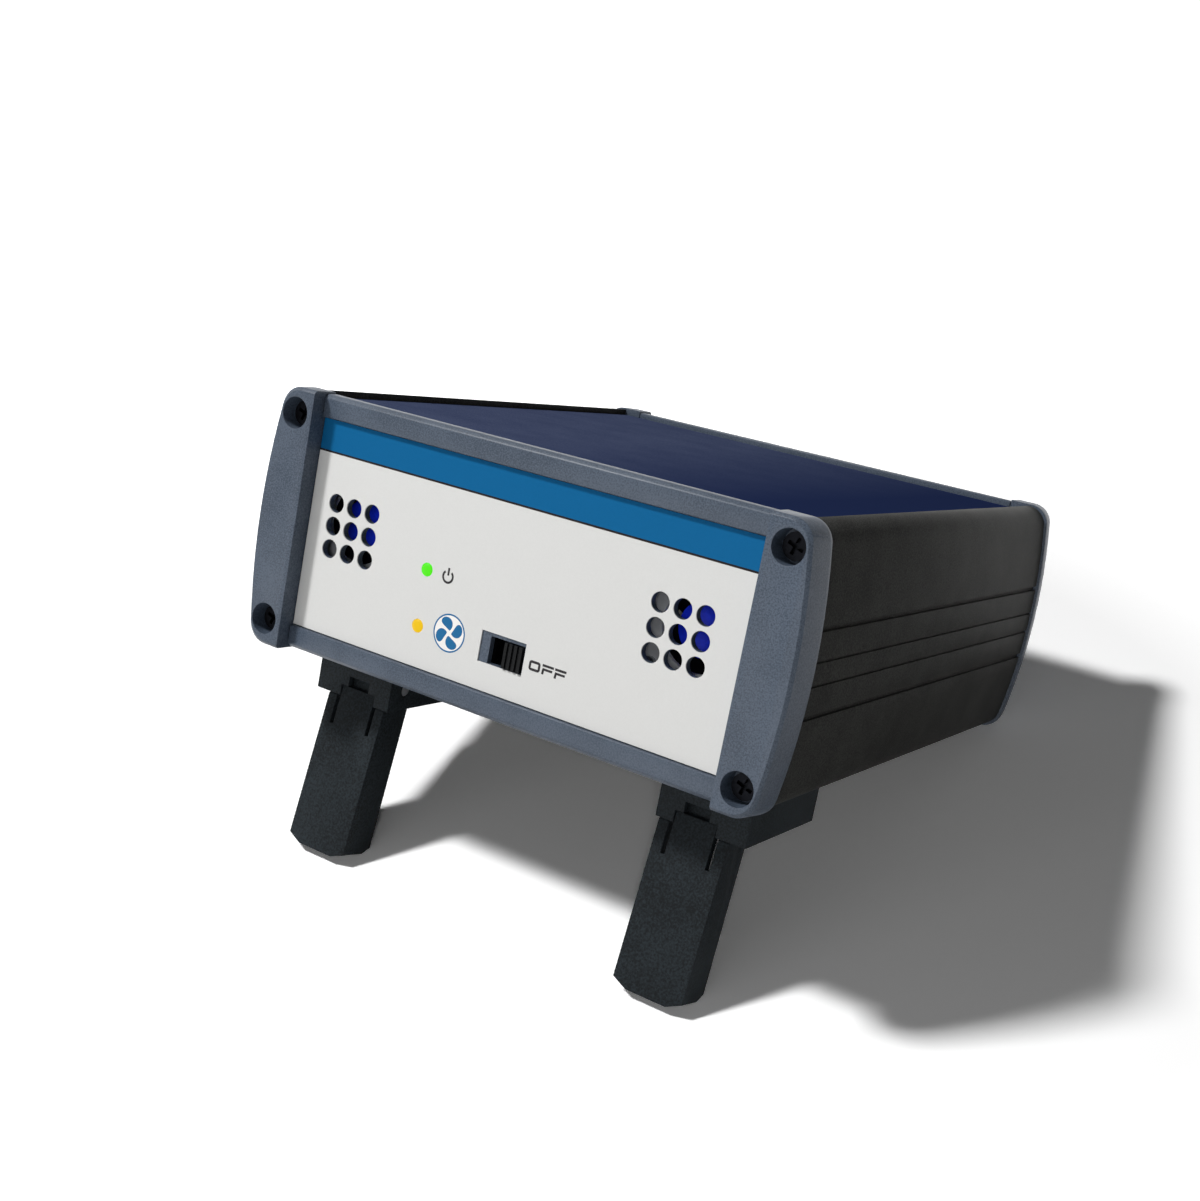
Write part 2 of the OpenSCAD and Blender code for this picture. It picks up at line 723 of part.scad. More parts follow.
// Indicator lamp on two wires that reach its board.
module led(z, tint) {
    flange_y = panel_y + panel_t;
    lens_r = led_d / 1.2;
    color(tint) stand() translate([led_x, 0, z]) union() {
        rod_y(0, panel_y - label_t, 0, led_d / 2, panel_t + label_t + 3);
        translate([0, panel_y - label_t, 0]) difference() {
            translate([0, 0.8 * lens_r, 0]) rotate([90, 0, 0]) sphere(r = lens_r);
            translate([-far / 2, 0, -far / 2]) cube(far);
        }
        rod_y(0, flange_y, 0, led_d / 2 + 0.4, 1);
        for (s = [-1, 1])
            rod_y(s * wire_x, flange_y + 2, 0, wire_r, control_y - flange_y + board_t - 1);
    }
}

module led_power() { led(led_power_z, "#5aff00"); }
module led_fan() { led(led_fan_z, "#ffcc00"); }

// Slide switch: housing on the control board.
knob_w = slot_w - knob_travel - 0.4;
knob_h = slot_h - 0.4;
slider_w = knob_w + 2.4;
body_y = panel_y + panel_t + 1;
body_w = 18;
body_h = 9.2;
module switch_body() {
    color("#1c1e22") stand() translate([switch_x, 0, switch_z]) difference() {
        translate([-body_w / 2, body_y, -body_h / 2]) cube([body_w, control_y - body_y, body_h]);
        translate([-slot_w / 2, body_y - 1, -slot_h / 2]) cube([slot_w, 3, slot_h]);
        translate([-(slider_w + knob_travel) / 2 - slip, body_y + 1, -knob_h / 2 - 0.6])
            cube([slider_w + knob_travel + 2 * slip, 2.4, knob_h + 1.2]);
    }
}

// Knob with grip ridges, and the slider that keeps it in the housing; shown at OFF.
module switch_knob() {
    face_y = panel_y - label_t - knob_out;
    color("#101114") stand()
        translate([switch_x + knob_travel / 2, 0, switch_z]) difference() {
            union() {
                translate([-knob_w / 2, face_y, -knob_h / 2])
                    cube([knob_w, body_y + 1.2 - face_y, knob_h]);
                translate([-slider_w / 2, body_y + 1.2, -knob_h / 2 - 0.4])
                    cube([slider_w, 2, knob_h + 0.8]);
            }
            for (i = [-1 : 1]) translate([i * 1.3 - 0.3, face_y - 1, -knob_h / 2 - 1])
                cube([0.6, 1.4, knob_h + 2]);
        }
}

// Board behind the front panel that carries the lamps and the switch.
module control_board() {
    color("#1f6b3a") stand() difference() {
        translate([control_x[0], control_y, control_z[0]])
            cube([control_x[1] - control_x[0], board_t, control_z[1] - control_z[0]]);
        for (p = control_holes) rod_y(p[0], control_y - 1, p[1], 1.25 + run, board_t + 2);
        for (z = [led_power_z, led_fan_z], s = [-1, 1])
            rod_y(led_x + s * wire_x, control_y - 1, z, wire_r + run, board_t + 2);
    }
}

module control_spacers() {
    color("#c9a54c") stand() for (p = control_holes) difference() {
        rod_y(p[0], panel_y + panel_t, p[1], 2.4, control_y - panel_y - panel_t);
        rod_y(p[0], control_y - 5, p[1], 1.25, 6);
    }
}

module control_screws() {
    color("#a8abb0") stand() for (p = control_holes) {
        rod_y(p[0], control_y - 4, p[1], 1.2, board_t + 4 + tiny);
        rod_y(p[0], control_y + board_t, p[1], 2.2, 1.6);
    }
}

module main_board() {
    color("#1f6b3a") stand() difference() {
        translate([-main_w / 2, main_y, main_z]) cube([main_w, main_d, board_t]);
        for (p = main_holes) rod_z(p[0], p[1], main_z - 1, 1.25 + run, board_t + 2);
    }
}

module main_spacers() {
    color("#c9a54c") stand() for (p = main_holes) difference() {
        rod_z(p[0], p[1], floor_z, 2.6, spacer_h);
        rod_z(p[0], p[1], floor_z - 1, 1.25, spacer_h + 2);
    }
}

// A screw from above and a screw from below into each spacer.
module main_screws() {
    color("#a8abb0") stand() for (p = main_holes) {
        small_screw(p[0], p[1], main_z + board_t, 1.2, board_t + 2);
        rod_z(p[0], p[1], -cover_z - 1.2, 2.2, 1.2);
        rod_z(p[0], p[1], -cover_z - tiny, 1.2, cover_t + 2.5);
    }
}

// Potted high-voltage generator with its two output posts.
module high_voltage_module() {
    top = main_z + board_t;
    color("#2a2a2e") stand() union() {
        translate([-module_w / 2, main_y + 6, top]) cube([module_w, module_d, module_h]);
        for (s = [-1, 1])
            rod_z(s * module_w / 3, main_y + 6 + module_d / 5, top + module_h - tiny, 2, 3);
    }
}

// Capacitors, choke, heat sink and connectors on the main board.
module board_parts() {
    top = main_z + board_t;
    plug = [8, 6, 6];
    color("#6f6a5c") stand() {
        for (i = [0 : 2]) rod_z(-32 + i * 12, main_rear - 18, top, 4, 12 - 2 * i);
        rod_z(14, main_rear - 18, top, 6, 7);
        translate([26, main_rear - 26, top]) {
            cube([12.6, 16, 2]);
            for (i = [0 : 3]) translate([i * 3.6, 0, 0]) cube([1.8, 16, 9]);
        }
        for (s = [-1, 1])
            translate([s * (main_w / 2 - 10) - plug[0] / 2, main_y + 12, top]) cube(plug);
        // the power connector, just before the inlet
        translate([-plug[0] / 2, inside_rear - jack_l - 1 - plug[1], top]) cube(plug);
    }
}

// Power inlet: a barrel socket in the rear panel.
module dc_jack() {
    color("#17181a") stand() at_rear() translate([0, 0, jack_z]) {
        difference() {
            union() {
                rod_y(0, panel_y - 1, 0, jack_w / 2, 1);
                rod_y(0, panel_y - tiny, 0, jack_thread_r, panel_t + 2 * tiny);
                translate([-jack_w / 2, panel_y + panel_t, -jack_w / 2])
                    cube([jack_w, jack_l, jack_w]);
            }
            rod_y(0, panel_y - 2, 0, jack_bore_r, jack_l);
        }
        rod_y(0, panel_y + 0.5, 0, 1, jack_l - 1);
    }
}

side_section(-1);  // side_section_left
side_section(1);  // side_section_right
top_cover();
bottom_cover();
front_post(-1);  // front_post_left
front_post(1);  // front_post_right
front_top_bar();
front_bottom_bar();
rear_post(-1);  // rear_post_left
rear_post(1);  // rear_post_right
rear_top_bar();
rear_bottom_bar();
front_panel();
front_label();
rear_panel();
front_screws();
rear_screws();
leg_bracket(-1);  // leg_bracket_left
leg_bracket(1);  // leg_bracket_right
leg_pin(-1);  // leg_pin_left
leg_pin(1);  // leg_pin_right
leg(-1);  // leg_left
leg(1);  // leg_right
leg_bracket_screws();
fan_bracket(fan_left_x);  // fan_bracket_left
fan_bracket(fan_right_x);  // fan_bracket_right
fan_bracket_screws();
fan_frame(fan_left_x);  // fan_frame_left
fan_frame(fan_right_x);  // fan_frame_right
fan_rotor(fan_left_x);  // fan_rotor_left
fan_rotor(fan_right_x);  // fan_rotor_right
emitter_ring(fan_left_x);  // emitter_ring_left
emitter_ring(fan_right_x);  // emitter_ring_right
emitter_needles(fan_left_x);  // emitter_needles_left
emitter_needles(fan_right_x);  // emitter_needles_right
fan_screws();
led_power();
led_fan();
switch_body();
switch_knob();
control_board();
control_spacers();
control_screws();
main_board();
main_spacers();
main_screws();
high_voltage_module();
board_parts();
dc_jack();
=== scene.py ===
import json
import math

import bpy
from mathutils import Matrix, Vector


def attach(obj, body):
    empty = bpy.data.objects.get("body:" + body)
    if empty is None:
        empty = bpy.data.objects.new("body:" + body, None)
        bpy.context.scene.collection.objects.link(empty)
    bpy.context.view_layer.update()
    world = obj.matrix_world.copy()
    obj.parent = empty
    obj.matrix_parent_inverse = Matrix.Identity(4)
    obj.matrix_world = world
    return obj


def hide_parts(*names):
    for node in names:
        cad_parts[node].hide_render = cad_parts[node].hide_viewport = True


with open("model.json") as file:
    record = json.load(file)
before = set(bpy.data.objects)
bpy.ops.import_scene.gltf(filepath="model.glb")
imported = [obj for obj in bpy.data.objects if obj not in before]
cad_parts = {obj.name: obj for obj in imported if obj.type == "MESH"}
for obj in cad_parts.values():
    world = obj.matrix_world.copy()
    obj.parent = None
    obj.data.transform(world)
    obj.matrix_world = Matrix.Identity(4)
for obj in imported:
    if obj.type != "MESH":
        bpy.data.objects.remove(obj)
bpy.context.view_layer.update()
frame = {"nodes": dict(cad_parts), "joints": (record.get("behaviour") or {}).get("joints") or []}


# ---------------------------------------------------------------- Camera
# Looks down at the front right corner of the blower, as it stands on a bench. It turns a
# hair about its own axis, and its distance gives the case its perspective.
MM = 0.001

view_azimuth = math.radians(34.351)
view_elevation = math.radians(28.046)
view_roll = math.radians(-0.54)
view_point = Vector((-11.3, -13.2, 48.5)) * MM
view_distance = 400 * MM

camera_data = bpy.data.cameras.new("camera")
camera_data.sensor_width = 36
camera_data.lens = 49.05
camera_data.clip_start = 0.01
camera = bpy.data.objects.new("camera", camera_data)
bpy.context.scene.collection.objects.link(camera)
camera.matrix_world = (
    Matrix.Translation(view_point)
    @ Matrix.Rotation(view_azimuth, 4, "Z")
    @ Matrix.Rotation(math.pi / 2 - view_elevation, 4, "X")
    @ Matrix.Rotation(view_roll, 4, "Z")
    @ Matrix.Translation((0, 0, view_distance))
)
bpy.context.scene.camera = camera


# ---------------------------------------------------------------- Floor and light
# A matt white table top. A lamp high on the left throws the shadow to the right, a wide
# panel in front lights the face of the case, and a small lamp on the right its side.
def linear(code):
    """Linear colour with alpha from an sRGB hex code."""
    parts = [int(code[i:i + 2], 16) / 255 for i in (1, 3, 5)]
    return [c / 12.92 if c <= 0.04045 else ((c + 0.055) / 1.055) ** 2.4 for c in parts] + [1]


def add(tree, kind, inputs=None, **settings):
    """A new node, with its settings, and with a value or a link for each named input."""
    node = tree.nodes.new(kind)
    for name, value in settings.items():
        setattr(node, name, value)
    for name, value in (inputs or {}).items():
        if isinstance(value, bpy.types.NodeSocket):
            tree.links.new(value, node.inputs[name])
        else:
            node.inputs[name].default_value = value
    return node


def new_material(name):
    """A material with an empty Principled surface, and its node tree and that surface."""
    material = bpy.data.materials.new(name)
    material.use_nodes = True
    tree = material.node_tree
    return material, tree, tree.nodes["Principled BSDF"]


def seen_directly(tree):
    """1 where the camera sees the surface itself, in a mirror or through glass, else 0."""
    path = add(tree, "ShaderNodeLightPath")
    seen = add(tree, "ShaderNodeMath", {0: path.outputs["Is Camera Ray"],
                                        1: path.outputs["Is Glossy Ray"]}, operation="ADD")
    return add(tree, "ShaderNodeMath", {0: seen.outputs[0],
                                        1: path.outputs["Is Transmission Ray"]},
               operation="ADD", use_clamp=True).outputs[0]


world = bpy.data.worlds.new("studio")
bpy.context.scene.world = world
world.use_nodes = True
background = world.node_tree.nodes["Background"]
backdrop = add(world.node_tree, "ShaderNodeMix", {
    "Factor": seen_directly(world.node_tree),
    "A": 0.05, "B": 1.0}, data_type="FLOAT")
background.inputs["Color"].default_value = linear("#FFFFFF")
world.node_tree.links.new(backdrop.outputs["Result"], background.inputs["Strength"])

floor_w = 8
glow_from = 0.15
glow_full = 0.36

bpy.ops.object.select_all(action="DESELECT")
bpy.ops.mesh.primitive_plane_add(size=floor_w)
floor = bpy.context.object
floor.name = "floor"

# Matt white laminate. Near the blower it shows the shadow, and from there it brightens
# to plain white, without more light on the blower. The gain makes its lit part white.
gain = 1.25
table_white, tree, surface = new_material("table_white")
seen = seen_directly(tree)
tone = add(tree, "ShaderNodeMix", {"Factor": seen, "A": linear("#BEBEBE"),
                                   "B": [gain, gain, gain, 1]}, data_type="RGBA")
away = add(tree, "ShaderNodeVectorMath", {
    0: add(tree, "ShaderNodeTexCoord").outputs["Object"]}, operation="LENGTH")
far = add(tree, "ShaderNodeMapRange", {"Value": away.outputs["Value"],
                                       "From Min": glow_from, "From Max": glow_full})
glow = add(tree, "ShaderNodeMath", {0: seen, 1: far.outputs[0]}, operation="MULTIPLY")
surface.inputs["Roughness"].default_value = 0.9
surface.inputs["Specular IOR Level"].default_value = 0.0
tree.links.new(tone.outputs["Result"], surface.inputs["Base Color"])
surface.inputs["Emission Color"].default_value = linear("#FFFFFF")
tree.links.new(glow.outputs[0], surface.inputs["Emission Strength"])
floor.data.materials.append(table_white)


def lamp(name, place, aim, width, height, watts):
    """A flat lamp at place, in metres, that shines at aim."""
    data = bpy.data.lights.new(name, "AREA")
    data.shape = "RECTANGLE"
    data.size = width
    data.size_y = height
    data.energy = watts
    light = bpy.data.objects.new(name, data)
    light.location = place
    light.rotation_euler = (Vector(place) - Vector(aim)).to_track_quat("Z", "Y").to_euler()
    bpy.context.scene.collection.objects.link(light)


lamp("key", (-0.60, -0.40, 1.15), (0, 0, 0.04), 0.15, 0.15, 16)
lamp("front_strip", (0, -1.4, 0.22), (0, 0, 0.05), 1.4, 0.36, 4.8)
lamp("right_flash", (0.27, -0.45, 0.33), (0, 0, 0.05), 0.05, 0.05, 0.32)


# ---------------------------------------------------------------- End frames
# Posts and bars moulded in slate grey ABS with a fine spark-eroded grain. Their edges
# are rounded a little, as a mould leaves them, and catch the light.
# The rotors turn about the length of the case, so that their axis gives its slope.
spin = next(joint for joint in frame["joints"] if joint["name"] == "rotor_left_spin")
slope = math.atan2(-spin["axis"][2], spin["axis"][1])
stance = Matrix.Rotation(-slope, 4, "X")


def position(tree, size=1.0):
    """Object coordinates turned square to the case, in units of size metres."""
    place = add(tree, "ShaderNodeTexCoord").outputs["Object"]
    turned = add(tree, "ShaderNodeMapping", {"Vector": place, "Rotation": (slope, 0, 0)})
    return add(tree, "ShaderNodeVectorMath", {0: turned.outputs[0], "Scale": 1 / size},
               operation="SCALE").outputs[0]


def grained_plastic(name, body, fleck, grain, roughness, depth, shine=0.1):
    """Moulded plastic: body colour with flecks, and a grain of that size and depth in mm.

    The flecks follow the grain, with a quarter of broad, faint clouding."""
    material, tree, surface = new_material(name)
    place = position(tree, grain * MM)
    fine = add(tree, "ShaderNodeTexNoise", {"Vector": place, "Scale": 1.0, "Detail": 3.0,
                                            "Roughness": 0.6})
    broad = add(tree, "ShaderNodeTexNoise", {"Vector": place, "Scale": 0.03, "Detail": 2.0})
    mottle = add(tree, "ShaderNodeMath", {0: fine.outputs["Fac"], 1: 0.75},
                 operation="MULTIPLY")
    both = add(tree, "ShaderNodeMath", {0: broad.outputs["Fac"], 1: 0.25,
                                        2: mottle.outputs[0]}, operation="MULTIPLY_ADD")
    ramp = add(tree, "ShaderNodeMapRange", {"Value": both.outputs[0], "From Min": 0.4,
                                            "From Max": 0.6})
    tone = add(tree, "ShaderNodeMix", {"Factor": ramp.outputs[0], "A": linear(body),
                                       "B": linear(fleck)}, data_type="RGBA")
    tree.links.new(tone.outputs["Result"], surface.inputs["Base Color"])
    gloss = add(tree, "ShaderNodeMapRange", {"Value": fine.outputs["Fac"], "From Min": 0.3,
                                             "From Max": 0.7, "To Min": roughness - 0.06,
                                             "To Max": roughness + 0.06})
    tree.links.new(gloss.outputs[0], surface.inputs["Roughness"])
    bump = add(tree, "ShaderNodeBump", {"Height": fine.outputs["Fac"], "Strength": 0.5,
                                        "Distance": depth * MM})
    tree.links.new(bump.outputs[0], surface.inputs["Normal"])
    surface.inputs["Specular IOR Level"].default_value = shine
    return material


def select_only(piece):
    """Make the piece the active and only selected object."""
    bpy.ops.object.select_all(action="DESELECT")
    piece.select_set(True)
    bpy.context.view_layer.objects.active = piece


def dress(piece, name, material, body="case", stands_for=()):
    """Name a finished piece and give it its finish, its body and the nodes it stands for."""
    piece.name = piece.data.name = name
    piece.data.materials.clear()
    piece.data.materials.append(material)
    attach(piece, body)
    if stands_for:
        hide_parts(*stands_for)


def softened(node, radius, material, body="case", segments=3):
    """Put a copy with every sharp edge rounded to radius mm in the place of a CAD node.

    Its loose triangles are joined, and its flat faces made whole, before the rounding."""
    piece = bpy.data.objects.new(node + "_moulding", frame["nodes"][node].data.copy())
    bpy.context.scene.collection.objects.link(piece)
    select_only(piece)
    bpy.ops.mesh.customdata_custom_splitnormals_clear()
    bpy.ops.object.mode_set(mode="EDIT")
    bpy.ops.mesh.select_all(action="SELECT")
    bpy.ops.mesh.remove_doubles(threshold=0.004 * MM)
    bpy.ops.mesh.dissolve_limited(angle_limit=math.radians(1))
    bpy.ops.object.mode_set(mode="OBJECT")
    bevel = piece.modifiers.new("rounded edges", "BEVEL")
    bevel.width = radius * MM
    bevel.segments = segments
    bevel.limit_method = "ANGLE"
    bevel.angle_limit = math.radians(40)
    bpy.ops.object.modifier_apply(modifier=bevel.name)
    bpy.ops.object.shade_smooth_by_angle(angle=math.radians(32))
    dress(piece, node + "_moulding", material, body, [node])


# Spark-eroded ABS spreads the light: matt, a little mottled, with soft glints on its
# edges. Its true grain is too fine to show, so it is drawn at 0.35 mm.
slate_abs = grained_plastic("slate_abs", "#343E4B", "#4E5866", 0.35, 0.42, 0.06, 0.3)
for end in ("front", "rear"):
    for side in ("left", "right"):
        softened(f"{end}_post_{side}", 0.45, slate_abs)
    for level in ("top", "bottom"):
        softened(f"{end}_{level}_bar", 0.3, slate_abs)


# ---------------------------------------------------------------- Side sections
# Dark grey ABS mouldings with lengthwise grooves, held by the end frames. Their grain is
# as on the posts, but they hardly shine, and look dry and almost black.
dark_abs = grained_plastic("dark_abs", "#2C2C2B", "#434341", 0.35, 0.5, 0.05, 0.02)
for side in ("left", "right"):
    softened(f"side_section_{side}", 0.2, dark_abs, segments=2)


# ---------------------------------------------------------------- Covers
# Flat plates that slide into slots of the side sections. The top one is of blue ABS with a faint
# grain. Its colour carries a painted sheen: lighter slate blue on the left, deepening to navy
# towards the right. The lower is dark.
def finish(material, *nodes):
    """Give CAD nodes that stay as they are a better material."""
    for node in nodes:
        frame["nodes"][node].material_slots[0].material = material


blue_abs_painted_sheen = grained_plastic("blue_abs_painted_sheen", "#3D4663", "#4B5470", 0.35, 0.5, 0.03, 0.0)
tree = blue_abs_painted_sheen.node_tree
surface = tree.nodes["Principled BSDF"]
# Painted sheen: the grained blue is mixed towards navy from left to right, so the cover looks
# lit on its left and shaded on its right.
across = add(tree, "ShaderNodeSeparateXYZ", {"Vector": position(tree, MM)}).outputs["X"]
painted_sheen_fade = add(tree, "ShaderNodeMapRange", {"Value": across, "From Min": -18.0,
                                           "From Max": 45.0})
painted_sheen_tone = add(tree, "ShaderNodeMix", {"Factor": painted_sheen_fade.outputs[0],
                                     "A": surface.inputs["Base Color"].links[0].from_socket,
                                     "B": linear("#222D50")}, data_type="RGBA")
tree.links.new(painted_sheen_tone.outputs["Result"], surface.inputs["Base Color"])
finish(blue_abs_painted_sheen, "top_cover")
finish(dark_abs, "bottom_cover")


# ---------------------------------------------------------------- Panels and label
# Slate ABS panels. The front one carries a pale printed film with a blue band along its
# top and a thin black line under the band.
def square_box(node):
    """Lowest and highest corner of a CAD node, measured square to the tipped-up case."""
    points = [stance.inverted() @ v.co for v in frame["nodes"][node].data.vertices]
    return [Vector([pick(p[i] for p in points) for i in range(3)]) for pick in (min, max)]


finish(slate_abs, "front_panel", "rear_panel")

label_low, label_high = square_box("front_label")
band_h = 6.9 * MM
line_h = 0.45 * MM

# Printed from behind and lightly frosted, the film looks even and satin, like paper.
label_film, tree, surface = new_material("printed_polycarbonate_film")
height = add(tree, "ShaderNodeSeparateXYZ", {"Vector": position(tree)}).outputs["Z"]
in_line = add(tree, "ShaderNodeMath", {0: height, 1: label_high.z - band_h - line_h},
              operation="GREATER_THAN").outputs[0]
in_band = add(tree, "ShaderNodeMath", {0: height, 1: label_high.z - band_h},
              operation="GREATER_THAN").outputs[0]
cloud = add(tree, "ShaderNodeTexNoise", {"Vector": position(tree, 0.4 * MM), "Scale": 1.0,
                                         "Detail": 2.0})
paper = add(tree, "ShaderNodeMix", {"Factor": cloud.outputs["Fac"], "A": linear("#D6D6D4"),
                                    "B": linear("#DBDBD9")}, data_type="RGBA")
ink = add(tree, "ShaderNodeMix", {"Factor": cloud.outputs["Fac"], "A": linear("#0A5C8C"),
                                  "B": linear("#0C6094")}, data_type="RGBA")
lined = add(tree, "ShaderNodeMix", {"Factor": in_line, "A": paper.outputs["Result"],
                                    "B": linear("#1E1A1A")}, data_type="RGBA")
print_tone = add(tree, "ShaderNodeMix", {"Factor": in_band, "A": lined.outputs["Result"],
                                         "B": ink.outputs["Result"]}, data_type="RGBA")
tree.links.new(print_tone.outputs["Result"], surface.inputs["Base Color"])
texture = add(tree, "ShaderNodeBump", {"Height": cloud.outputs["Fac"], "Strength": 0.15,
                                       "Distance": 0.01 * MM})
tree.links.new(texture.outputs[0], surface.inputs["Normal"])
surface.inputs["Roughness"].default_value = 0.55
surface.inputs["Specular IOR Level"].default_value = 0.08
finish(label_film, "front_label")


# ---------------------------------------------------------------- Print on the label
# Silk-screened marks, a hair proud of the film: a fan in a ring and a power symbol beside
# their lamps, and the word OFF beside the switch. They are drawn flat, in mm.
def fine_ink(name, low, high):
    """Matt printing ink between two close colours, mottled every quarter of a mm."""
    material, tree, surface = new_material(name)
    noise = add(tree, "ShaderNodeTexNoise", {"Vector": position(tree, 0.25 * MM),
                                             "Scale": 1.0})
    tone = add(tree, "ShaderNodeMix", {"Factor": noise.outputs["Fac"], "A": linear(low),
                                       "B": linear(high)}, data_type="RGBA")
    tree.links.new(tone.outputs["Result"], surface.inputs["Base Color"])
    surface.inputs["Roughness"].default_value = 0.6
    surface.inputs["Specular IOR Level"].default_value = 0.3
    return material


print_t = 0.04

# Screen inks dry matt and nearly even.
black_ink = fine_ink("black_ink", "#141214", "#1E1A1D")
blue_ink = fine_ink("blue_ink", "#0B5C8C", "#106496")
white_ink = fine_ink("white_ink", "#EEEAE6", "#F4F1EE")


def keep_ring(width):
    """Cut the middle out of the flat shape being edited, leaving a ring of that width."""
    bpy.ops.mesh.inset(thickness=width)
    bpy.ops.mesh.delete(type="FACE")


def flat_bar(x, y, width, height, slant=0):
    """A flat rectangle round (x, y), its top edge moved right by slant."""
    bpy.ops.mesh.primitive_plane_add(size=1, location=(x - slant / 2, y, 0))
    bar = bpy.context.object
    bar.scale = (width, height, 1)
    select_only(bar)
    bpy.ops.object.transform_apply(location=True, rotation=True, scale=True)
    if slant:
        bpy.ops.object.mode_set(mode="EDIT")
        bpy.ops.mesh.select_mode(type="VERT")
        bpy.ops.mesh.select_all(action="DESELECT")
        bpy.ops.object.mode_set(mode="OBJECT")
        for vertex in bar.data.vertices:
            vertex.select = vertex.co.y > y
        bpy.ops.object.mode_set(mode="EDIT")
        bpy.ops.transform.translate(value=(slant, 0, 0))
        bpy.ops.object.mode_set(mode="OBJECT")
    return bar


def flat_disc(width):
    """A flat disc of that width."""
    bpy.ops.mesh.primitive_circle_add(vertices=64, radius=width / 2, fill_type="NGON")
    return bpy.context.object


def stamp(name, shapes, neighbour, right, up, ink, proud=0.02):
    """Join flat shapes, thicken them, and put them on the label beside a lamp or the knob.

    All is in mm: right and up from the neighbour's middle, and proud of the label."""
    low, high = square_box(neighbour)
    place = (low + high) / 2 + Vector((right, 0, up)) * MM
    bpy.ops.object.select_all(action="DESELECT")
    for shape in shapes:
        shape.select_set(True)
    bpy.context.view_layer.objects.active = shapes[0]
    bpy.ops.object.transform_apply(location=True, rotation=True, scale=True)
    if len(shapes) > 1:
        bpy.ops.object.join()
    piece = bpy.context.object
    bpy.ops.object.mode_set(mode="EDIT")
    bpy.ops.mesh.select_all(action="SELECT")
    bpy.ops.mesh.extrude_region_move(TRANSFORM_OT_translate={"value": (0, 0, -print_t)})
    bpy.ops.mesh.select_all(action="SELECT")
    bpy.ops.mesh.normals_make_consistent(inside=False)
    bpy.ops.object.mode_set(mode="OBJECT")
    piece.data.transform(
        stance @ Matrix.Translation((place.x, label_low.y - proud * MM, place.z))
        @ Matrix.Rotation(math.pi / 2, 4, "X") @ Matrix.Scale(MM, 4))
    dress(piece, name, ink)


def flat_ring(width, stroke):
    """A flat ring of that width and stroke."""
    ring = flat_disc(width)
    select_only(ring)
    bpy.ops.object.mode_set(mode="EDIT")
    bpy.ops.mesh.select_all(action="SELECT")
    keep_ring(stroke)
    bpy.ops.object.mode_set(mode="OBJECT")
    return ring


def swept_blade(turn):
    """A disc bent into a fan blade: narrow at the hub, broad at the tip and swept round."""
    blade = flat_disc(1)
    for vertex in blade.data.vertices:
        along = vertex.co.x + 0.5
        radius = 0.6 + 3.1 * along
        angle = turn + 0.5 * along + vertex.co.y * (1.0 + 2.9 * along) / radius
        vertex.co = (radius * math.cos(angle), radius * math.sin(angle), 0)
    return blade


def letter_o():
    """A squared O, 2.9 by 2.2 mm, round the middle, with cut-off corners."""
    letter = flat_bar(0, 0, 2.9, 2.2)
    bpy.ops.object.mode_set(mode="EDIT")
    bpy.ops.mesh.select_all(action="SELECT")
    bpy.ops.mesh.bevel(offset=0.6, affect="VERTICES", segments=5)
    bpy.ops.mesh.select_all(action="SELECT")
    keep_ring(0.56)
    bpy.ops.object.mode_set(mode="OBJECT")
    return letter


def letter_f(left):
    """A squared F as high as the O: a stem that ends at the arm, the arm and the top."""
    return [flat_bar(left + 0.27, -0.55, 0.54, 1.1, 0.08),
            flat_bar(left + 1.36, 0, 2.5, 0.5),
            flat_bar(left + 1.42, 0.84, 2.85, 0.52)]


fan_disc_w = 8.1
fan_ring_w = 8.5
fan_place = ("led_fan", 8.7, 0.7)
blades = [swept_blade(0.05 + i * math.pi / 2) for i in range(4)]
stamp("print_fan_disc", [flat_disc(fan_disc_w)], *fan_place, white_ink, 0.01)
stamp("print_fan_mark", [flat_ring(fan_ring_w, 0.34)] + blades, *fan_place, blue_ink)

power_ring = flat_ring(3.1, 0.5)
gap = 1.6
for face in power_ring.data.polygons:
    face.select = abs(face.center.x) < gap / 2 and face.center.y > 0
select_only(power_ring)
bpy.ops.object.mode_set(mode="EDIT")
bpy.ops.mesh.delete(type="FACE")
bpy.ops.object.mode_set(mode="OBJECT")
stamp("print_power_mark", [power_ring, flat_bar(0, 1.1, 0.5, 1.7)], "led_power", 5.85, -0.1,
      black_ink)
stamp("print_off", [letter_o()] + letter_f(1.95) + letter_f(5.15), "switch_knob", 5.7, -0.2,
      black_ink)


# ---------------------------------------------------------------- Case screws
# Cross-head steel screws deep in the recesses of the posts, blackened by an oxide bath,
# so they look nearly black. The small screws and the leg pins are bright zinc plate.
def worn_metal(name, low, high, grain, smooth, rough, metallic=1.0):
    """Metal between two colours, smooth and rough in patches of that grain in mm."""
    material, tree, surface = new_material(name)
    scratches = add(tree, "ShaderNodeTexNoise", {"Vector": position(tree, grain * MM),
                                                 "Scale": 1.0, "Detail": 4.0})
    tone = add(tree, "ShaderNodeMix", {"Factor": scratches.outputs["Fac"], "A": linear(low),
                                       "B": linear(high)}, data_type="RGBA")
    gloss = add(tree, "ShaderNodeMapRange", {"Value": scratches.outputs["Fac"],
                                             "To Min": smooth, "To Max": rough})
    tree.links.new(tone.outputs["Result"], surface.inputs["Base Color"])
    tree.links.new(gloss.outputs[0], surface.inputs["Roughness"])
    surface.inputs["Metallic"].default_value = metallic
    return material


black_oxide = worn_metal("black_oxide", "#050607", "#1C1D21", 0.6, 0.35, 0.6)
finish(black_oxide, "front_screws", "rear_screws")
zinc_steel = worn_metal("zinc_plated_steel", "#9A9DA3", "#C6C8CC", 0.4, 0.2, 0.4)
finish(zinc_steel, "leg_pin_left", "leg_pin_right", "leg_bracket_screws",
       "fan_bracket_screws", "fan_screws", "control_screws", "main_screws")


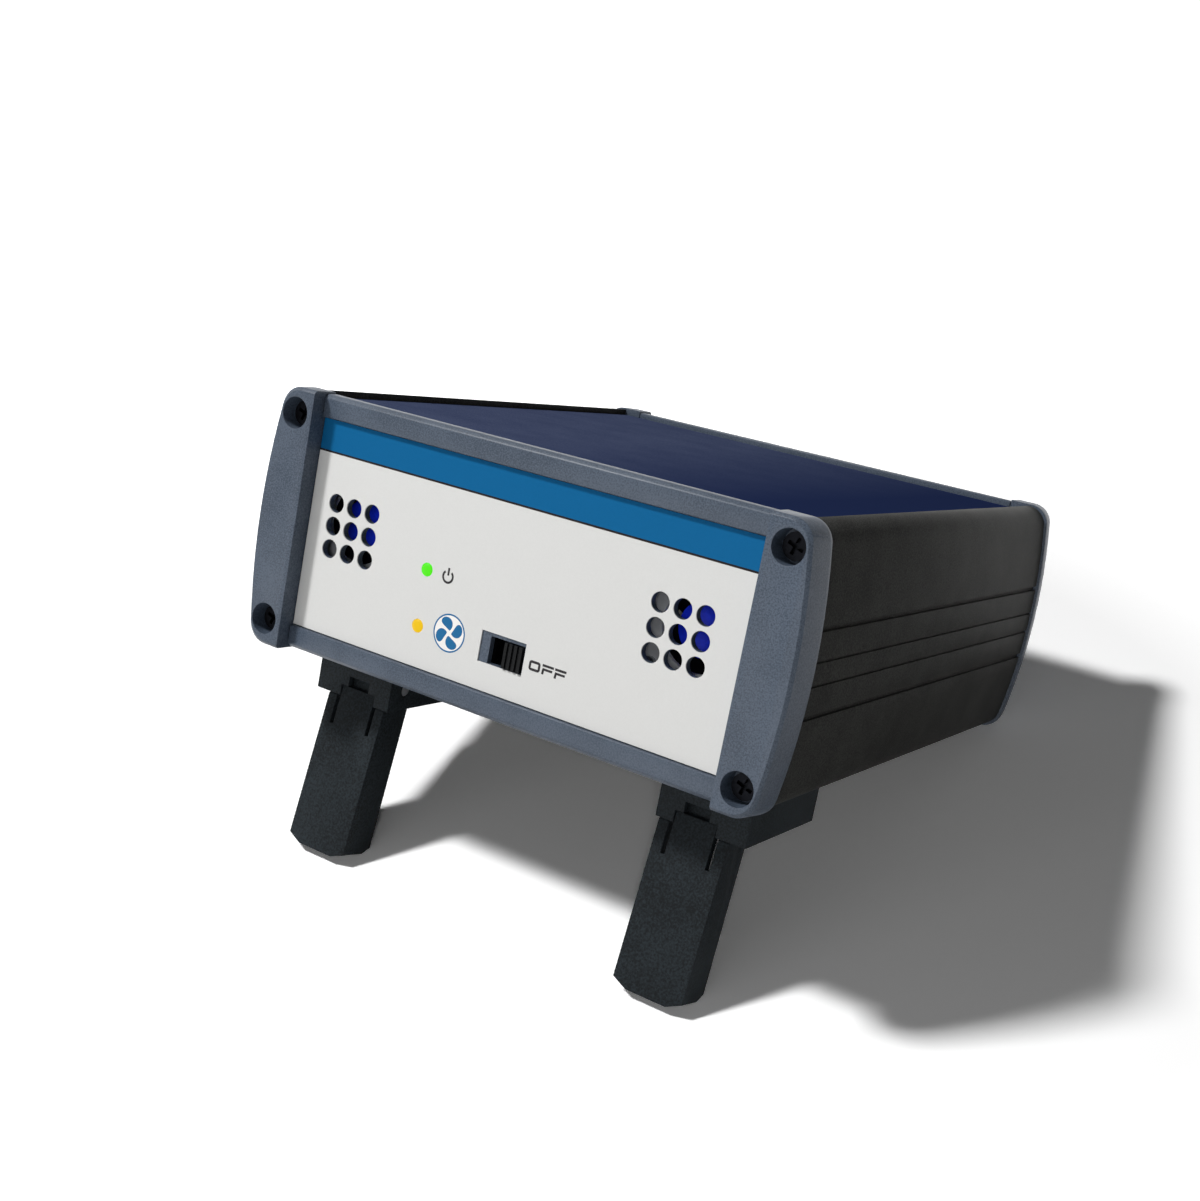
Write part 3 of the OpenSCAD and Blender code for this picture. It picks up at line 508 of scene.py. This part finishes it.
# ---------------------------------------------------------------- Legs and brackets
# The legs turn on steel pins in brackets under the case. Both are moulded in glass-filled
# nylon, near black and matt, with a coarser mottle than the case.
black_nylon = grained_plastic("black_nylon", "#101315", "#262C30", 0.5, 0.62, 0.06)
for side in ("left", "right"):
    softened(f"leg_bracket_{side}", 0.2, black_nylon, segments=2)
    softened(f"leg_{side}", 0.25, black_nylon, f"leg_{side}", segments=2)


# ---------------------------------------------------------------- Fans
# Small axial fans screwed to angles of zinc-plated sheet, whose pale colour is a painted
# highlight. The frames are black. The rotors are of satin ABS, with bright blue hubs and smoked
# black blades.
hub_r = 6.05


def from_axis(tree, centre):
    """Distance in metres from a line through centre, along the length of the case."""
    away = add(tree, "ShaderNodeVectorMath", {0: position(tree), 1: centre},
               operation="SUBTRACT")
    across = add(tree, "ShaderNodeVectorMath", {0: away.outputs[0], 1: (1, 0, 1)},
                 operation="MULTIPLY")
    return add(tree, "ShaderNodeVectorMath", {0: across.outputs[0]},
               operation="LENGTH").outputs["Value"]


for side in ("left", "right"):
    rotor_finish, tree, surface = new_material(f"rotor_plastic_{side}")
    joint = next(j for j in frame["joints"] if j["name"] == f"rotor_{side}_spin")
    radius = from_axis(tree, stance.inverted() @ Vector(joint["pos_m"]))
    in_blades = add(tree, "ShaderNodeMath", {0: radius, 1: hub_r * MM},
                    operation="GREATER_THAN")
    noise = add(tree, "ShaderNodeTexNoise", {"Vector": position(tree, 0.5 * MM),
                                             "Scale": 1.0})
    hub_blue = add(tree, "ShaderNodeMix", {"Factor": noise.outputs["Fac"],
                                           "A": linear("#0B24D8"), "B": linear("#1B3DFF")},
                   data_type="RGBA")
    blade_black = add(tree, "ShaderNodeMix", {"Factor": noise.outputs["Fac"],
                                              "A": linear("#0B0C12"), "B": linear("#15161E")},
                      data_type="RGBA")
    tone = add(tree, "ShaderNodeMix", {"Factor": in_blades.outputs[0],
                                       "A": hub_blue.outputs["Result"],
                                       "B": blade_black.outputs["Result"]}, data_type="RGBA")
    tree.links.new(tone.outputs["Result"], surface.inputs["Base Color"])
    surface.inputs["Roughness"].default_value = 0.3
    surface.inputs["Specular IOR Level"].default_value = 0.12
    finish(rotor_finish, f"fan_rotor_{side}")

# Zinc plate on sheet has a broad, cloudy spangle. Its near-white colour, hardly metallic, is a
# painted highlight: it stands for the glint of the lit sheet seen through the vent holes.
pale_zinc_painted_glint = worn_metal("zinc_steel_painted_glint", "#CED2D8", "#F0F2F5", 2.5, 0.3, 0.5, 0.1)
finish(pale_zinc_painted_glint, "fan_bracket_left", "fan_bracket_right")

# The frames' PBT and the rings' ivory insulator are moulded fine, and look satin. The
# emitter needles are ground to a bright point.
finish(grained_plastic("black_pbt", "#101114", "#1C1E22", 0.4, 0.45, 0.02),
       "fan_frame_left", "fan_frame_right")
finish(grained_plastic("ivory_insulator", "#E2DFD5", "#ECEAE2", 0.5, 0.5, 0.01),
       "emitter_ring_left", "emitter_ring_right")
finish(worn_metal("ground_steel", "#B4B6BA", "#DADCE0", 0.1, 0.12, 0.25),
       "emitter_needles_left", "emitter_needles_right")


# ---------------------------------------------------------------- Lamps
# Diffused lenses that glow evenly, the power lamp green and the fan lamp amber.
def lit_lens(name, low, high, node):
    """A lens with an even glow between two close colours."""
    material, tree, surface = new_material(name)
    noise = add(tree, "ShaderNodeTexNoise", {"Vector": position(tree, MM / 1.5),
                                             "Scale": 1.0})
    tone = add(tree, "ShaderNodeMix", {"Factor": noise.outputs["Fac"], "A": linear(low),
                                       "B": linear(high)}, data_type="RGBA")
    dim = add(tree, "ShaderNodeMix", {"Factor": 0.1, "A": linear("#000000"),
                                      "B": tone.outputs["Result"]}, data_type="RGBA")
    tree.links.new(dim.outputs["Result"], surface.inputs["Base Color"])
    tree.links.new(tone.outputs["Result"], surface.inputs["Emission Color"])
    surface.inputs["Emission Strength"].default_value = 0.8
    surface.inputs["Roughness"].default_value = 0.5
    surface.inputs["Specular IOR Level"].default_value = 0.2
    finish(material, node)


lit_lens("green_glow", "#4BF000", "#5CFF10", "led_power")
lit_lens("amber_glow", "#F5C400", "#FFD208", "led_fan")


# ---------------------------------------------------------------- Switch and power inlet
# A slide switch behind its slot, and a barrel inlet in the rear panel. Both are smooth
# black mouldings that show little but a soft glint. The inlet's pin is bright metal.
black_gloss, tree, surface = new_material("black_gloss_abs")
noise = add(tree, "ShaderNodeTexNoise", {"Vector": position(tree, 0.5 * MM), "Scale": 1.0,
                                         "Detail": 3.0})
tone = add(tree, "ShaderNodeMix", {"Factor": noise.outputs["Fac"], "A": linear("#040506"),
                                   "B": linear("#0A0B0E")}, data_type="RGBA")
tree.links.new(tone.outputs["Result"], surface.inputs["Base Color"])
surface.inputs["Roughness"].default_value = 0.3
surface.inputs["Specular IOR Level"].default_value = 0.12
finish(black_gloss, "switch_body", "switch_knob")

pin_zone_r = 1.5
jack_low, jack_high = square_box("dc_jack")
inlet_finish, tree, surface = new_material("inlet_plastic_and_pin")
in_pin = add(tree, "ShaderNodeMath", {0: from_axis(tree, (jack_low + jack_high) / 2),
                                      1: pin_zone_r * MM}, operation="LESS_THAN")
noise = add(tree, "ShaderNodeTexNoise", {"Vector": position(tree, 0.5 * MM), "Scale": 1.0})
moulding = add(tree, "ShaderNodeMix", {"Factor": noise.outputs["Fac"], "A": linear("#090A0C"),
                                       "B": linear("#141519")}, data_type="RGBA")
tone = add(tree, "ShaderNodeMix", {"Factor": in_pin.outputs[0],
                                   "A": moulding.outputs["Result"],
                                   "B": linear("#C4C7CB")}, data_type="RGBA")
tree.links.new(tone.outputs["Result"], surface.inputs["Base Color"])
tree.links.new(in_pin.outputs[0], surface.inputs["Metallic"])
surface.inputs["Roughness"].default_value = 0.3
finish(inlet_finish, "dc_jack")


# ---------------------------------------------------------------- Boards
# Glass-epoxy boards on turned brass spacers, a high-voltage generator potted in resin,
# and a row of components. Under the glossy green mask faint copper tracks show.
solder_mask, tree, surface = new_material("green_solder_mask")
tracks = add(tree, "ShaderNodeTexBrick", {
    "Vector": position(tree, 2 * MM), "Scale": 1.0, "Color1": linear("#17582F"),
    "Color2": linear("#1C6638"), "Mortar": linear("#2C8050"), "Mortar Size": 0.05},
    offset=0.35, squash=0.6)
tree.links.new(tracks.outputs["Color"], surface.inputs["Base Color"])
surface.inputs["Roughness"].default_value = 0.3
finish(solder_mask, "control_board", "main_board")
finish(worn_metal("turned_brass", "#B8923E", "#D8B45E", 0.3, 0.2, 0.35),
       "control_spacers", "main_spacers")
finish(grained_plastic("potting_resin", "#16171A", "#222328", 1.2, 0.3, 0.02),
       "high_voltage_module")

# From left to right: capacitors in blue sleeves, a wound choke and an aluminium heat sink.
# The connectors, foremost and rearmost on the board, are nylon. All look satin.
board_reach = 50
choke_from = 0
sink_from = 24
connector_d = 6.5
parts_low, parts_high = square_box("board_parts")
component_finish, tree, surface = new_material("component_finishes")
spot = add(tree, "ShaderNodeSeparateXYZ", {"Vector": position(tree, MM)})
noise = add(tree, "ShaderNodeTexNoise", {"Vector": position(tree, MM / 1.5), "Scale": 1.0,
                                         "Detail": 3.0})
from_left = add(tree, "ShaderNodeMapRange", {"Value": spot.outputs["X"],
                                             "From Min": -board_reach,
                                             "From Max": board_reach})
kinds = add(tree, "ShaderNodeValToRGB", {"Fac": from_left.outputs[0]})
kinds.color_ramp.interpolation = "CONSTANT"
stops = kinds.color_ramp.elements
stops[1].position = 0.5 + choke_from / (2 * board_reach)
stops.new(0.5 + sink_from / (2 * board_reach))
for stop, code in zip(stops, ("#1B2A52", "#6E3B1E", "#A9ACB0")):
    stop.color = linear(code)
from_middle = add(tree, "ShaderNodeMath", {0: spot.outputs["Y"],
                                           1: (parts_low.y + parts_high.y) / 2 / MM},
                  operation="SUBTRACT")
aside = add(tree, "ShaderNodeMath", {0: from_middle.outputs[0]}, operation="ABSOLUTE")
reach = (parts_high.y - parts_low.y) / 2 / MM
connector = add(tree, "ShaderNodeMath", {0: aside.outputs[0], 1: reach - connector_d},
                operation="GREATER_THAN")
body = add(tree, "ShaderNodeMix", {"Factor": connector.outputs[0],
                                   "A": kinds.outputs["Color"],
                                   "B": linear("#E4DFD2")}, data_type="RGBA")
shade = add(tree, "ShaderNodeMapRange", {"Value": noise.outputs["Fac"], "To Min": 0.85,
                                         "To Max": 1.05})
tone = add(tree, "ShaderNodeMix", {"Factor": 1.0, "A": body.outputs["Result"],
                                   "B": shade.outputs[0]}, data_type="RGBA",
           blend_type="MULTIPLY")
tree.links.new(tone.outputs["Result"], surface.inputs["Base Color"])
surface.inputs["Roughness"].default_value = 0.4
finish(component_finish, "board_parts")


# ---------------------------------------------------------------- End
# Standard view.
bpy.context.scene.view_settings.view_transform = "Standard"
